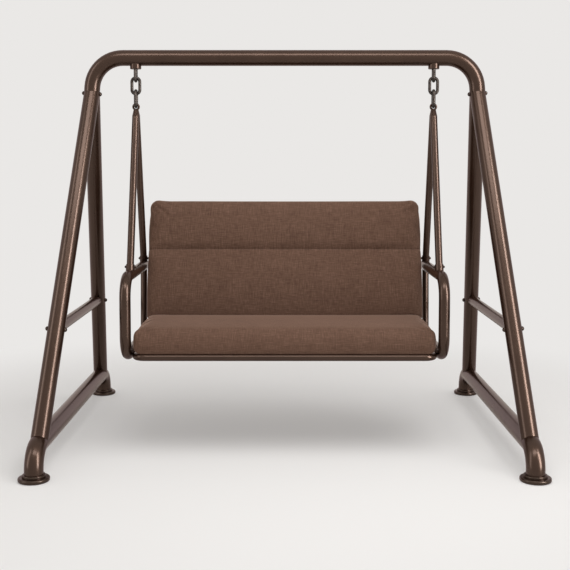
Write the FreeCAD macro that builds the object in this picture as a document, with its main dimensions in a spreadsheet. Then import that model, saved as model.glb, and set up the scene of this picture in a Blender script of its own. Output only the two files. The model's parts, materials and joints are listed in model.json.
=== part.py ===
import FreeCAD, Part
import math
import os
import re

import Sketcher
from FreeCAD import Placement, Rotation, Vector

# Bench swing: a tubular A-frame stand, two short chains and a cushioned bench hung on raked rods.
# The origin is on the floor at the middle of the stand. +Z is up, the bench faces -Y, the beam runs along X.
# "left" is -X, which is the left-hand side for someone who stands in front of the swing.

# Driving sizes, in millimetres and degrees.
SIZES = {
    # stand: main tube and the A of each side
    "tube_od": 76.1,
    "tube_wall": 2.9,
    "crown_half_span": 934.0,
    "crown_height": 1660.0,
    "leg_splay": 109.0,
    "leg_reach": 700.0,
    "beam_bend": 150.0,
    "beam_run": 21.15,
    "seam_rise": 8.0,
    "spigot_wall": 5.0,
    "spigot_end_gap": 1.15,
    "spigot_drop": 28.0,
    "spigot_gap": 0.35,
    "spigot_ledge": 1.0,
    # stand: rail along the floor, bent down into a foot at each end
    "rail_od": 80.0,
    "rail_wall": 3.2,
    "rail_bend": 93.0,
    "foot_run": 40.0,
    "flange_radius": 66.0,
    "flange_thickness": 18.0,
    "flange_round": 7.0,
    "step_radius": 49.0,
    "step_height": 11.0,
    "step_round": 4.0,
    "sole_thickness": 5.0,
    # stand: cross brace and its flat tongues
    "brace_od": 50.8,
    "brace_wall": 2.6,
    "brace_height": 587.0,
    "tongue_thickness": 8.0,
    "tongue_overlap": 60.0,
    # bolts with domed heads and cap nuts
    "bolt_radius": 5.0,
    "bolt_head_radius": 10.5,
    "bolt_gap": 0.3,
    "nut_bore": 7.0,
    "crown_bolt_drop": 11.0,
    # hanger: boss under the beam, fixed bow, two chain links and the ring of the yoke
    "hanger_inset": 61.3,
    "boss_height": 16.0,
    "boss_wall": 3.5,
    "boss_round": 4.0,
    "bow_reach": 56.5,
    "bow_ease": 1.0,
    "link_rod": 15.0,
    "link_ease": 4.0,
    "link_pitch": 77.0,
    "running_gap": 0.3,
    "ring_rod": 10.0,
    "ring_ease": 1.0,
    "yoke_drop": 43.0,
    "yoke_lip": 1.65,
    "yoke_neck_half_width": 12.0,
    "yoke_neck_half_depth": 13.0,
    # bench: hanger rods and their collars
    "rod_od": 33.7,
    "rod_wall": 2.6,
    "rod_reach": 230.0,
    "collar_od": 40.0,
    "collar_rise": 24.0,
    "collar_bolt_rise": 13.0,
    "small_bolt_radius": 3.0,
    "small_head_radius": 6.5,
    "small_nut_bore": 4.0,
    # bench: arm frames
    "seat_setback": -14.7,
    "arm_od": 50.8,
    "arm_wall": 2.6,
    "arm_height": 801.0,
    "arm_nose": 56.0,
    "arm_tail": 26.0,
    "arm_bend": 95.0,
    "post_lean": 25.0,
    "cap_thickness": 3.0,
    "cap_plug": 18.0,
    # bench: seat ring, back frame and their slats
    "seat_height": 442.0,
    "seat_tube_od": 31.8,
    "seat_tube_wall": 2.0,
    "seat_lead": 4.0,
    "seat_back_reach": 143.0,
    "seat_corner": 45.0,
    "seat_bolt_inset": 18.0,
    "seat_bolt_span": 330.0,
    "slat_width": 35.0,
    "slat_thickness": 4.0,
    "recline_angle": 15.0,
    "back_inset": 39.5,
    "back_length": 680.0,
    "back_corner": 88.0,
    "back_slat_start": 150.0,
    # cushions
    "cushion_gap": 0.3,
    "cushion_draw": 5.0,
    "cushion_side_gap": 2.6,
    "seat_cushion_overhang": 12.0,
    "seat_cushion_rear_gap": 25.0,
    "seat_cushion_thickness": 115.0,
    "seat_cushion_crown": 8.0,
    "seat_cushion_round": 34.0,
    "seat_cushion_end": 62.0,
    "back_cushion_inset": 3.0,
    "back_cushion_thickness": 95.0,
    "back_cushion_rise": 18.0,
    "back_cushion_crown": 9.0,
    "back_cushion_round": 38.0,
    "back_cushion_end": 50.0,
    "back_channel_drop": 241.0,
    "back_channel_depth": 6.0,
    # how close sheet faces and welds lie, and how far a cutting tool runs past what it cuts
    "weld_gap": 0.2,
    "overrun": 20.0,
    "snap": 0.001,
}
SEAT_SLATS = 11
BACK_SLATS = 5

# Where a cushion has its cross-sections: as shares of its rounded end, and of the half span between the ends.
END_STATION_SHARES = (0.0, 0.05, 0.17, 0.36, 0.63, 1.0)
SPAN_STATION_SHARES = (0.33, 0.66, 1.0)
LOWER_ROUND_SHARE = 0.55
FRONT_ROUND_SHARE = 0.6
LEAST_CORNER_SHARE = 0.42

# Places and lengths that follow from the driving sizes.
PLACES = {
    "foot_half_span": "crown_half_span + leg_splay",
    "foot_reach": "leg_reach + rail_bend",
    "rail_height": "foot_run + rail_bend",
    "leg_drop": "crown_height - rail_height",
    "side_length": "hypot(leg_splay; leg_drop)",
    "leg_length": "hypot(side_length; leg_reach)",
    "bend_reach": "beam_bend * (side_length - leg_splay) / leg_drop",
    "beam_height": "crown_height + (seam_rise + beam_run + bend_reach) * leg_drop / side_length",
    "beam_end_x": "crown_half_span - seam_rise * leg_splay / side_length",
    "beam_end_z": "crown_height + seam_rise * leg_drop / side_length",
    "beam_corner_x": "crown_half_span - (beam_height - crown_height) * leg_splay / leg_drop",
    "spigot_rise": "beam_run - spigot_end_gap",
    "brace_drop": "crown_height - brace_height",
    "brace_x": "crown_half_span + brace_drop * leg_splay / leg_drop",
    "brace_reach": "brace_drop * leg_reach / leg_drop",
    "tongue_height": "brace_od - brace_wall",
    "hanger_half_span": "beam_corner_x - bend_reach - hanger_inset",
    "boss_drop": "tube_od / 2 + boss_height",
    "bow_radius": "link_rod + bow_ease",
    "boss_radius": "bow_radius + link_rod / 2 + boss_wall",
    "link_radius": "link_rod + link_ease",
    "ring_radius": "link_rod / 2 + ring_rod / 2 + ring_ease",
    "bow_z": "beam_height - boss_drop - bow_reach",
    "upper_pivot_z": "bow_z + link_rod + running_gap",
    "middle_pivot_z": "upper_pivot_z - link_pitch",
    "lower_link_top_z": "middle_pivot_z + link_rod + running_gap",
    "lower_link_foot_z": "lower_link_top_z - link_pitch",
    "seat_pivot_z": "lower_link_foot_z + link_rod / 2 + ring_rod / 2 + running_gap",
    "ring_z": "seat_pivot_z - ring_radius",
    "yoke_foot_z": "ring_z - yoke_drop",
    "front_rod_y": "seat_setback - rod_reach",
    "rear_rod_y": "seat_setback + rod_reach",
    "arm_front_y": "front_rod_y - arm_nose - arm_bend",
    "arm_back_y": "rear_rod_y + arm_tail",
    "post_foot_y": "rear_rod_y - post_lean",
    "seat_half_width": "hanger_half_span - arm_od / 2 - weld_gap - seat_tube_od / 2",
    "seat_front_y": "arm_front_y - seat_lead",
    "seat_back_y": "seat_setback + seat_back_reach",
    "seat_bolt_rear_y": "seat_back_y - seat_corner - seat_bolt_inset",
    "seat_bolt_front_y": "seat_bolt_rear_y - seat_bolt_span",
    "back_half_span": "seat_half_width - back_inset",
    "cushion_half_width": "hanger_half_span - arm_od / 2 - cushion_side_gap",
    "back_cushion_half_width": "cushion_half_width - back_cushion_inset",
    "cushion_front_y": "seat_front_y - seat_cushion_overhang",
    "cushion_back_y": "seat_back_y - seat_cushion_rear_gap",
    "slat_bottom_z": "seat_height + seat_tube_od / 2 + weld_gap",
    "cushion_bottom_z": "slat_bottom_z + slat_thickness + cushion_gap",
    "cushion_top_z": "cushion_bottom_z + seat_cushion_thickness",
    "seat_bolt_length": "arm_od + weld_gap + seat_tube_od",
    "foot_socket": "rail_od / 2 + weld_gap",
    "foot_step_top": "flange_thickness + step_height",
    "rod_rise": "ring_z - arm_height",
    "yoke_foot_half_width": "rod_od / 2 + yoke_lip",
    "yoke_foot_half_depth": "rod_reach * yoke_drop / rod_rise + rod_od / 2 + 2 * yoke_lip",
    "front_rod_length": "hypot(front_rod_y; rod_rise)",
    "rear_rod_length": "hypot(rear_rod_y; rod_rise)",
    "post_length": "hypot(rear_rod_y - post_foot_y; arm_height - seat_height)",
}

doc = FreeCAD.newDocument("bench_swing")
sheet = doc.addObject("Spreadsheet::Sheet", "Sizes")
for row, (alias, value) in enumerate(SIZES.items(), start=1):
    sheet.set(f"A{row}", alias)
    sheet.set(f"B{row}", str(value))
    sheet.setAlias(f"B{row}", alias)
doc.recompute()
places = doc.addObject("App::VarSet", "Places")


def sized(text):
    """An expression in plain size names, with the object that holds each name put before it."""

    def owner(match):
        word = match.group(0)
        if word in SIZES:
            return "Sizes." + word
        if word in PLACES:
            return "Places." + word
        return word

    return re.sub(r"[a-z_]+", owner, text)


for alias, text in PLACES.items():
    places.addProperty("App::PropertyFloat", alias, "Places")
    places.setExpression(alias, sized(text))
doc.recompute()


def at(name):
    """The value of a driving size or of a place."""
    return float(getattr(sheet if name in SIZES else places, name))


# Directions and the frames that slanting pieces are built in.
X_AXIS = Vector(1, 0, 0)
Y_AXIS = Vector(0, 1, 0)
Z_AXIS = Vector(0, 0, 1)
ORIGIN = Vector(0, 0, 0)
RIGHT_ANGLE = 90.0
SIDE_TILT = math.degrees(math.atan2(at("leg_splay"), at("leg_drop")))
LEG_LEAN = math.degrees(math.atan2(at("leg_reach"), at("side_length")))
# Local Z of this frame runs up the plane of the two right-hand legs, local X is square to that plane.
CROWN_FRAME = Placement(Vector(at("crown_half_span"), 0, at("crown_height")), Rotation(Y_AXIS, -SIDE_TILT))
# Local Z of this frame runs up the reclined back, from the rear tube of the seat ring.
BACK_FOOT = Vector(0, at("seat_back_y"), at("seat_height"))
BACK_FRAME = Placement(BACK_FOOT, Rotation(X_AXIS, -at("recline_angle")))
ALONG_X = Rotation(Y_AXIS, RIGHT_ANGLE)
ALONG_Y = Rotation(X_AXIS, -RIGHT_ANGLE)

nodes = {}


def keep(item, name):
    """Names a finished sub-part after its node."""
    item.Label = name
    nodes[name] = item
    return item


def mirrored(item, normal=X_AXIS):
    """The same piece on the other side of the plane through the origin."""
    twin = doc.addObject("Part::Mirroring", item.Name + "_twin")
    twin.Source = item
    twin.Base = ORIGIN
    twin.Normal = normal
    return twin


def keep_both(item, name):
    """Keeps a right-hand piece and its left-hand twin."""
    keep(mirrored(item), "left_" + name)
    return keep(item, "right_" + name)


def primitive(kind, name, placement=None, **texts):
    """A Part primitive whose sizes follow the sheet."""
    item = doc.addObject("Part::" + kind, name)
    for size, text in texts.items():
        item.setExpression(size, sized(text))
    if placement is not None:
        item.Placement = placement
    return item


def fused(name, *shapes):
    item = doc.addObject("Part::MultiFuse", name)
    item.Shapes = list(shapes)
    return item


def cut(name, base, *tools):
    item = doc.addObject("Part::Cut", name)
    item.Base = base
    item.Tool = tools[0] if len(tools) == 1 else fused(name + "_tools", *tools)
    return item


def common(name, base, tool):
    item = doc.addObject("Part::Common", name)
    item.Base = base
    item.Tool = tool
    return item


def compound(name, items):
    item = doc.addObject("Part::Compound", name)
    item.Links = list(items)
    return item


def box(name, low, length, width, height, frame=Placement()):
    """A box with its low corner at a point of a frame, its sides given as expressions."""
    placement = frame.multiply(Placement(low, Rotation()))
    return primitive("Box", name, placement, Length=length, Width=width, Height=height)


def bar(name, radius, length, placement):
    return primitive("Cylinder", name, placement, Radius=radius, Height=length)


def straight_tube(name, od, wall, length, placement):
    """A round tube from the placement's origin along its Z."""
    outer = bar(name + "_outer", f"{od} / 2", length, placement)
    bore = bar(name + "_bore", f"{od} / 2 - {wall}", length, placement)
    return cut(name, outer, bore)


def rounded_path(name, corners, radius, closed=False):
    """Straight runs through the corners, each corner rounded by a tangent arc."""
    count = len(corners)

    def bend(index):
        here = corners[index]
        before = (corners[index - 1] - here).normalize()
        after = (corners[(index + 1) % count] - here).normalize()
        half = before.getAngle(after) / 2
        reach = radius / math.tan(half)
        inward = (before + after).normalize()
        middle = here + inward * (radius / math.sin(half) - radius)
        return here + before * reach, middle, here + after * reach

    bends = {index: bend(index) for index in (range(count) if closed else range(1, count - 1))}
    edges = []
    for index in range(count if closed else count - 1):
        following = (index + 1) % count
        start = bends[index][2] if index in bends else corners[index]
        stop = bends[following][0] if following in bends else corners[following]
        if start.distanceToPoint(stop) > at("snap"):
            edges.append(Part.LineSegment(start, stop).toShape())
        if following in bends:
            edges.append(Part.Arc(*bends[following]).toShape())
    item = doc.addObject("Part::Feature", name)
    item.Shape = Part.Wire(edges)
    return item


def swept_bar(name, path, radius):
    """A round bar along a path that starts with a straight run."""
    first = path.Shape.Edges[0]
    start = first.Vertexes[0].Point
    heading = first.Vertexes[-1].Point - start
    square_to_start = Placement(start, Rotation(Z_AXIS, heading))
    section = primitive("Circle", name + "_section", square_to_start, Radius=radius)
    item = doc.addObject("Part::Sweep", name)
    item.Sections = [section]
    item.Spine = (path, [f"Edge{number + 1}" for number in range(len(path.Shape.Edges))])
    item.Solid = True
    item.Frenet = False
    return item


def bent_tube(name, path, od, wall):
    outer = swept_bar(name + "_outer", path, f"{od} / 2")
    bore = swept_bar(name + "_bore", path, f"{od} / 2 - {wall}")
    return cut(name, outer, bore)


def side_point(y, z, x):
    """A point in the upright plane whose distance from the middle has a name."""
    return Vector(at(x), y, z)


# Bolts

def bolt_and_nut(name, grip, frame, radius, head_radius, nut_bore):
    """A domed bolt and its cap nut on local Z of a frame, the grip being centred on the frame's origin."""
    half_grip = at(grip) / 2
    head_seat = frame.multiply(Placement(Vector(0, 0, half_grip), Rotation()))
    nut_seat = frame.multiply(Placement(Vector(0, 0, -half_grip), Rotation(X_AXIS, 2 * RIGHT_ANGLE)))
    shank_start = frame.multiply(Placement(Vector(0, 0, -half_grip - at(nut_bore)), Rotation()))
    shank = bar(name + "_shank", radius, f"{grip} + {nut_bore}", shank_start)
    head = primitive("Sphere", name + "_head", head_seat, Radius=head_radius)
    head.Angle1 = 0
    dome = primitive("Sphere", name + "_dome", nut_seat, Radius=head_radius)
    dome.Angle1 = 0
    thread = bar(name + "_thread", f"{radius} + bolt_gap / 2", f"{nut_bore} + bolt_gap", nut_seat)
    return fused(name + "_bolt", shank, head), cut(name + "_nut", dome, thread)


def bolt_hole(name, grip, frame, radius):
    """A clearance hole right through the grip."""
    start = frame.multiply(Placement(Vector(0, 0, -at(grip) / 2 - at("overrun")), Rotation()))
    return bar(name, f"{radius} + bolt_gap", f"{grip} + 2 * overrun", start)


def keep_group(name, right_items):
    """Keeps right-hand fasteners and their left-hand twins as one node."""
    twins = [mirrored(item) for item in right_items]
    return keep(compound(name + "_group", list(right_items) + twins), name)


# Stand

def make_top_beam():
    corners = [
        Vector(-at("beam_end_x"), 0, at("beam_end_z")),
        Vector(-at("beam_corner_x"), 0, at("beam_height")),
        Vector(at("beam_corner_x"), 0, at("beam_height")),
        Vector(at("beam_end_x"), 0, at("beam_end_z")),
    ]
    path = rounded_path("beam_path", corners, at("beam_bend"))
    keep(bent_tube("beam", path, "tube_od", "tube_wall"), "top_beam")


def make_base_rail():
    """The rail, and the solid of its outside that the legs are coped to."""
    corners = [
        side_point(-at("foot_reach"), at("sole_thickness"), "foot_half_span"),
        side_point(-at("foot_reach"), at("rail_height"), "foot_half_span"),
        side_point(at("foot_reach"), at("rail_height"), "foot_half_span"),
        side_point(at("foot_reach"), at("sole_thickness"), "foot_half_span"),
    ]
    path = rounded_path("rail_path", corners, at("rail_bend"))
    keep_both(bent_tube("rail", path, "rail_od", "rail_wall"), "base_rail")
    return swept_bar("rail_cope", path, "rail_od / 2 + weld_gap")


def leg_placement(lean):
    """Local Z runs down the leg from the crown."""
    return CROWN_FRAME.multiply(Placement(ORIGIN, Rotation(X_AXIS, 2 * RIGHT_ANGLE - lean)))


CROWN_BOLT_FRAME = CROWN_FRAME.multiply(
    Placement(Vector(0, 0, at("seam_rise") - at("crown_bolt_drop")), ALONG_X)
)


def brace_bolt_frame():
    point = Vector(at("brace_x"), -at("brace_reach"), at("brace_height"))
    return Placement(point, CROWN_FRAME.Rotation.multiply(ALONG_X))


def make_legs(rail_cope):
    start = leg_placement(LEG_LEAN).multiply(Placement(Vector(0, 0, -at("tube_od")), Rotation()))
    tube = straight_tube("leg_tube", "tube_od", "tube_wall", "leg_length + tube_od", start)
    low = Vector(-at("tube_od"), -at("leg_reach") - at("tube_od"), at("seam_rise") - at("leg_length"))
    room = box("leg_room", low, "2 * tube_od", "leg_reach + tube_od", "leg_length", CROWN_FRAME)
    slot_low = Vector(
        at("brace_x") - at("tongue_thickness") / 2 - at("bolt_gap"),
        -at("brace_reach"),
        at("brace_height") - at("tongue_height") / 2 - at("bolt_gap"),
    )
    slot_width = "tongue_thickness + 2 * bolt_gap"
    slot = box("leg_slot", slot_low, slot_width, "tube_od", "tongue_height + 2 * bolt_gap")
    crown_hole = bolt_hole("crown_hole", "tube_od", CROWN_BOLT_FRAME, "bolt_radius")
    brace_hole = bolt_hole("brace_hole", "tube_od", brace_bolt_frame(), "bolt_radius")
    blank = common("leg_blank", tube, room)
    front = cut("leg", blank, rail_cope, slot, crown_hole, brace_hole)
    keep_both(front, "front_leg")
    keep_both(mirrored(front, Y_AXIS), "rear_leg")


def make_crown_spigot():
    """A short sleeve inside the beam's end and the mitred legs, which the crown bolt holds."""
    seam = CROWN_FRAME.multiply(Placement(Vector(0, 0, at("seam_rise")), Rotation()))
    low_end = seam.multiply(Placement(Vector(0, 0, -at("spigot_drop")), Rotation()))
    radius = "tube_od / 2 - tube_wall - spigot_gap"
    upper = bar("spigot_upper", radius, "spigot_rise", seam)
    lower = bar("spigot_lower", radius + " - spigot_ledge", "spigot_drop", low_end)
    bore = bar("spigot_bore", radius + " - spigot_wall", "spigot_drop + spigot_rise", low_end)
    hole = bolt_hole("spigot_hole", "tube_od", CROWN_BOLT_FRAME, "bolt_radius")
    keep_both(cut("spigot", fused("spigot_blank", upper, lower), bore, hole), "crown_spigot")


def make_brace():
    """A round tube with a flat tongue at each end that goes through a slot into the leg."""
    start = Placement(Vector(at("brace_x"), -at("brace_reach"), at("brace_height")), ALONG_Y)
    tube = straight_tube("brace_tube", "brace_od", "brace_wall", "2 * brace_reach", start)
    length = "leg_length + tube_od"
    front_cope = bar("front_leg_cope", "tube_od / 2 + weld_gap", length, leg_placement(LEG_LEAN))
    rear_cope = bar("rear_leg_cope", "tube_od / 2 + weld_gap", length, leg_placement(-LEG_LEAN))
    coped = cut("brace_coped", tube, front_cope, rear_cope)
    low = Vector(
        at("brace_x") - at("tongue_thickness") / 2,
        -at("brace_reach") - at("bolt_head_radius"),
        at("brace_height") - at("tongue_height") / 2,
    )
    reach = "bolt_head_radius + tube_od / 2 + tongue_overlap"
    tongue = box("tongue_blank", low, "tongue_thickness", reach, "tongue_height")
    hole = bolt_hole("tongue_hole", "tube_od", brace_bolt_frame(), "bolt_radius")
    front_tongue = cut("front_tongue", tongue, hole)
    keep_both(fused("brace", coped, front_tongue, mirrored(front_tongue, Y_AXIS)), "cross_brace")


def make_foot():
    """A stepped flange with rounded rims that the end of the rail stands in."""
    body = doc.addObject("PartDesign::Body", "foot")
    plane = next(item for item in body.Origin.OriginFeatures if item.Role == "XZ_Plane")
    sketch = body.newObject("Sketcher::SketchObject", "foot_profile")
    sketch.AttachmentSupport = (plane, [""])
    sketch.MapMode = "FlatFace"
    corners = [
        (None, None),
        ("flange_radius", None),
        ("flange_radius", "flange_thickness"),
        ("step_radius", "flange_thickness"),
        ("step_radius", "foot_step_top"),
        ("foot_socket", "foot_step_top"),
        ("foot_socket", "sole_thickness"),
        (None, "sole_thickness"),
    ]
    outline(sketch, corners)
    turned = body.newObject("PartDesign::Revolution", "foot_turned")
    turned.Profile = sketch
    turned.ReferenceAxis = (sketch, ["V_Axis"])
    turned.Angle = 4 * RIGHT_ANGLE
    doc.recompute()
    rounds = (
        ("flange_rim", "flange_radius", "flange_round", (0, at("flange_thickness"))),
        ("step_rim", "step_radius", "step_round", (at("foot_step_top"),)),
    )
    base = turned
    for name, radius, size, heights in rounds:
        rim = body.newObject("PartDesign::Fillet", name)
        rim.Base = (base, circle_edges(base.Shape, at(radius), heights))
        rim.setExpression("Radius", sized(size))
        doc.recompute()
        base = rim
    placed = doc.addObject("Part::Compound", "front_foot")
    placed.Links = [body]
    body.Placement = Placement(Vector(at("foot_half_span"), -at("foot_reach"), 0), Rotation())
    keep_both(placed, "front_foot")
    keep_both(mirrored(placed, Y_AXIS), "rear_foot")


def outline(sketch, corners):
    """A closed outline of straight lines, each corner held by two named sizes, or by none on an axis."""
    spots = [Vector(at(across) if across else 0, at(up) if up else 0, 0) for across, up in corners]
    for index, spot in enumerate(spots):
        sketch.addGeometry(Part.LineSegment(spot, spots[(index + 1) % len(spots)]), False)
    for index, (across, up) in enumerate(corners):
        following = (index + 1) % len(spots)
        sketch.addConstraint(Sketcher.Constraint("Coincident", index, 2, following, 1))
    for index, names in enumerate(corners):
        for kind, name, value in zip(("DistanceX", "DistanceY"), names, spots[index]):
            number = sketch.addConstraint(Sketcher.Constraint(kind, -1, 1, index, 1, value))
            if name:
                sketch.setExpression(f"Constraints[{number}]", sized(name))


def circle_edges(shape, radius, heights):
    """The names of the round edges of one radius at the given heights."""
    names = []
    for number, edge in enumerate(shape.Edges, start=1):
        if not isinstance(edge.Curve, Part.Circle):
            continue
        if abs(edge.Curve.Radius - radius) > at("snap"):
            continue
        if any(abs(edge.Curve.Center.z - height) < at("snap") for height in heights):
            names.append(f"Edge{number}")
    return names


def make_hanger_boss():
    """A round boss coped to the underside of the beam, bored for the two legs of the bow."""
    foot = Placement(Vector(at("hanger_half_span"), 0, at("beam_height") - at("boss_drop")), Rotation())
    blank = bar("boss_blank", "boss_radius", "boss_drop", foot)
    doc.recompute()
    rounded = doc.addObject("Part::Fillet", "boss_rounded")
    rounded.Base = blank
    edges = circle_edges(blank.Shape, at("boss_radius"), (at("beam_height") - at("boss_drop"),))
    rounded.Edges = [(int(name[4:]), at("boss_round"), at("boss_round")) for name in edges]
    cope_start = at("hanger_half_span") - at("boss_radius") - at("overrun")
    beam_side = Placement(Vector(cope_start, 0, at("beam_height")), ALONG_X)
    cope = bar("boss_cope", "tube_od / 2 + weld_gap", "2 * boss_radius + 2 * overrun", beam_side)
    holes = []
    for name, y in (("boss_hole_front", -at("bow_radius")), ("boss_hole_rear", at("bow_radius"))):
        spot = Placement(Vector(at("hanger_half_span"), y, at("beam_height") - at("boss_drop")), Rotation())
        holes.append(bar(name, "link_rod / 2 + weld_gap", "boss_drop", spot))
    keep_both(cut("boss", rounded, cope, *holes), "hanger_boss")


def make_hanger_bow():
    """The fixed half link: a bent rod with both legs up in the boss."""
    top = at("beam_height") - at("tube_od") / 2 - at("weld_gap") - at("link_rod") / 2
    corners = [
        side_point(-at("bow_radius"), top, "hanger_half_span"),
        side_point(-at("bow_radius"), at("bow_z"), "hanger_half_span"),
        side_point(at("bow_radius"), at("bow_z"), "hanger_half_span"),
        side_point(at("bow_radius"), top, "hanger_half_span"),
    ]
    path = rounded_path("bow_path", corners, at("bow_radius"))
    beam_side = Placement(Vector(at("hanger_half_span") - at("boss_radius"), 0, at("beam_height")), ALONG_X)
    cope = bar("bow_cope", "tube_od / 2 + weld_gap", "2 * boss_radius", beam_side)
    keep_both(cut("bow", swept_bar("bow_rod", path, "link_rod / 2"), cope), "hanger_bow")


# Chain

def make_link(name, top_z, across):
    """An oval link of round rod whose top bar is centred on a height; across is its wide direction."""
    middle = Vector(at("hanger_half_span"), 0, top_z - at("link_pitch") / 2)
    wide = across * at("link_radius")
    tall = Z_AXIS * (at("link_pitch") / 2)
    corners = [
        middle - wide - tall,
        middle - wide + tall,
        middle + wide + tall,
        middle + wide - tall,
    ]
    path = rounded_path(name + "_path", corners, at("link_radius"), closed=True)
    keep_both(swept_bar(name, path, "link_rod / 2"), name)


# Bench

def make_yoke():
    """A ring with a tapered foot that closes the tops of the two hanger rods."""
    spot = Vector(at("hanger_half_span"), 0, at("ring_z"))
    ring = primitive(
        "Torus",
        "yoke_ring",
        Placement(spot, Rotation(X_AXIS, RIGHT_ANGLE)),
        Radius1="ring_radius",
        Radius2="ring_rod / 2",
    )
    low = Vector(at("hanger_half_span"), 0, at("yoke_foot_z"))
    high = Vector(at("hanger_half_span"), 0, at("ring_z") - at("ring_radius"))
    foot = doc.addObject("Part::Ellipse", "yoke_foot")
    foot.setExpression("MajorRadius", sized("yoke_foot_half_depth"))
    foot.setExpression("MinorRadius", sized("yoke_foot_half_width"))
    foot.Placement = Placement(low, Rotation(Z_AXIS, RIGHT_ANGLE))
    neck = doc.addObject("Part::Ellipse", "yoke_neck")
    neck.setExpression("MajorRadius", sized("yoke_neck_half_depth"))
    neck.setExpression("MinorRadius", sized("yoke_neck_half_width"))
    neck.Placement = Placement(high, Rotation(Z_AXIS, RIGHT_ANGLE))
    taper = doc.addObject("Part::Loft", "yoke_taper")
    taper.Sections = [foot, neck]
    taper.Solid = True
    taper.Ruled = True
    keep_both(fused("yoke", ring, taper), "hanger_yoke")


def make_arm():
    """The open C of an arm: armrest, front upright and lower rail in one bent tube."""
    corners = [
        side_point(at("arm_back_y"), at("arm_height"), "hanger_half_span"),
        side_point(at("arm_front_y"), at("arm_height"), "hanger_half_span"),
        side_point(at("arm_front_y"), at("seat_height"), "hanger_half_span"),
        side_point(at("arm_back_y"), at("seat_height"), "hanger_half_span"),
    ]
    path = rounded_path("arm_path", corners, at("arm_bend"))
    tube = bent_tube("arm_tube", path, "arm_od", "arm_wall")
    holes = [
        bolt_hole(f"arm_hole_{name}", "seat_bolt_length", frame, "bolt_radius")
        for name, frame in seat_bolt_frames()
    ]
    keep_both(cut("arm", tube, *holes), "arm_frame")
    return swept_bar("arm_cope", path, "arm_od / 2 + weld_gap")


def seat_bolt_frames():
    """Where the bolts through the arm's lower rail and the side of the seat ring lie."""
    outer_face = at("hanger_half_span") + at("arm_od") / 2
    middle = outer_face - at("seat_bolt_length") / 2
    frames = []
    for name in ("front", "rear"):
        spot = Vector(middle, at(f"seat_bolt_{name}_y"), at("seat_height"))
        frames.append((name, Placement(spot, ALONG_X)))
    return frames


def make_arm_caps():
    """Plugs that close the two rear ends of each arm tube."""
    caps = []
    for name, height in (("upper_cap", "arm_height"), ("lower_cap", "seat_height")):
        face = Placement(side_point(at("arm_back_y"), at(height), "hanger_half_span"), ALONG_Y)
        plug_start = Placement(
            side_point(at("arm_back_y") - at("cap_plug"), at(height), "hanger_half_span"), ALONG_Y
        )
        lid = bar(name + "_lid", "arm_od / 2", "cap_thickness", face)
        plug = bar(name + "_plug", "arm_od / 2 - arm_wall - weld_gap", "cap_plug", plug_start)
        caps.append(fused(name, lid, plug))
    keep_group("arm_end_caps", caps)


def rod_frame(rod_y):
    """A frame at the foot of a hanger rod with local Z up the rod, towards the middle of the ring."""
    foot = side_point(rod_y, at("arm_height"), "hanger_half_span")
    apex = side_point(0, at("ring_z"), "hanger_half_span")
    return Placement(foot, Rotation(Z_AXIS, apex - foot))


def make_hanger_rods(arm_cope):
    """Four raked rods, each in a bolted collar on the armrest, the pair of a side mitred under the yoke."""
    bolts = []
    nuts = []
    room_low = Vector(at("hanger_half_span") - at("rod_od"), 0, at("arm_height"))
    rear_room = box("rear_rod_room", room_low, "2 * rod_od", "2 * rod_reach", "yoke_foot_z - arm_height")
    rooms = {"front": mirrored(rear_room, Y_AXIS), "rear": rear_room}
    for name, room in rooms.items():
        frame = rod_frame(at(f"{name}_rod_y"))
        outer = bar(name + "_rod_outer", "rod_od / 2", f"{name}_rod_length", frame)
        bore = bar(name + "_rod_bore", "rod_od / 2 - rod_wall", f"{name}_rod_length", frame)
        along = at("arm_od") / 2 + at("collar_bolt_rise")
        bolt_frame = Placement(frame.multVec(Vector(0, 0, along)), ALONG_X)
        hole = bolt_hole(name + "_rod_hole", "collar_od", bolt_frame, "small_bolt_radius")
        rod = cut(name + "_rod", common(name + "_rod_blank", outer, room), bore, arm_cope, hole)
        keep_both(rod, name + "_hanger_rod")
        collar_outer = bar(name + "_collar_outer", "collar_od / 2", "arm_od / 2 + collar_rise", frame)
        collar_bore = bar(name + "_collar_bore", "rod_od / 2 + weld_gap", "arm_od / 2 + collar_rise", frame)
        collar = cut(name + "_collar", collar_outer, collar_bore, arm_cope, hole)
        keep_both(collar, name + "_rod_collar")
        radii = ("small_bolt_radius", "small_head_radius", "small_nut_bore")
        bolt, nut = bolt_and_nut(name + "_collar", "collar_od", bolt_frame, *radii)
        bolts.append(bolt)
        nuts.append(nut)
    keep_group("collar_bolts", bolts)
    keep_group("collar_nuts", nuts)


def make_rear_post(arm_cope):
    """The upright between the armrest and the lower rail, under the rear hanger rod."""
    foot = side_point(at("post_foot_y"), at("seat_height"), "hanger_half_span")
    head = side_point(at("rear_rod_y"), at("arm_height"), "hanger_half_span")
    frame = Placement(foot, Rotation(Z_AXIS, head - foot))
    outer = bar("post_outer", "rod_od / 2", "post_length", frame)
    bore = bar("post_bore", "rod_od / 2 - rod_wall", "post_length", frame)
    keep_both(cut("post", outer, bore, arm_cope), "rear_post")


def make_seat_frame():
    """The closed ring that carries the slats, bolted between the two arms."""
    half = at("seat_half_width")
    level = at("seat_height")
    corners = [
        Vector(-half, at("seat_front_y"), level),
        Vector(half, at("seat_front_y"), level),
        Vector(half, at("seat_back_y"), level),
        Vector(-half, at("seat_back_y"), level),
    ]
    path = rounded_path("seat_path", corners, at("seat_corner"), closed=True)
    tube = bent_tube("seat_tube", path, "seat_tube_od", "seat_tube_wall")
    holes = [
        bolt_hole(f"seat_hole_{name}", "seat_bolt_length", frame, "bolt_radius")
        for name, frame in seat_bolt_frames()
    ]
    twins = [mirrored(hole) for hole in holes]
    keep(cut("seat_ring", tube, *holes, *twins), "seat_frame")
    return swept_bar("seat_cope", path, "seat_tube_od / 2 + weld_gap")


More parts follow.
